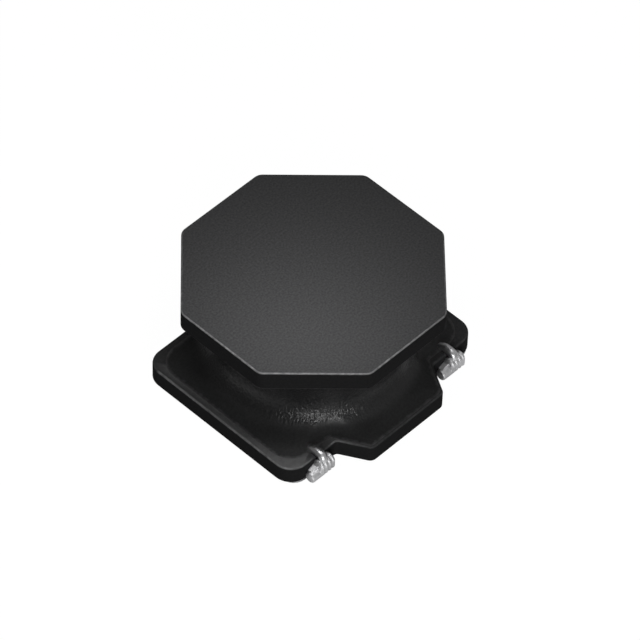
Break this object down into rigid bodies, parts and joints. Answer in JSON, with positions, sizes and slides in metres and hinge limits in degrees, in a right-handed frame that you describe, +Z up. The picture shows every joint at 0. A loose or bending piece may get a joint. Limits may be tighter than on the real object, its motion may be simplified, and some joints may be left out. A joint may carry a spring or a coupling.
{
  "type": "smd inductor",
  "caption": "Low surface-mount power inductor: octagonal ferrite flange over a notched ferrite base, dark resin fillet between them and soldered wire ends in two notches.",
  "frame": {"origin": "middle of the underside, on the plane of the solder pads", "axes": "+Z up from the board, Y from tongue to tongue with the wire ends on the -Y side, X from pad to pad"},
  "size_m": [0.0078, 0.008, 0.004],
  "materials": {
    "ferrite": "sintered ferrite, fine matte grain",
    "wire": "copper wire with tinned ends",
    "resin": "powder-filled epoxy, glossy with a fine grain",
    "plating": "matte tin plating",
    "solder": "bright solder"
  },
  "bodies": {
    "root": {"drum_core": "ferrite", "coil_wire": "wire", "magnetic_resin": "resin", "start_terminal": "plating", "finish_terminal": "plating", "start_solder": "solder", "finish_solder": "solder"}
  },
  "joints": []
}
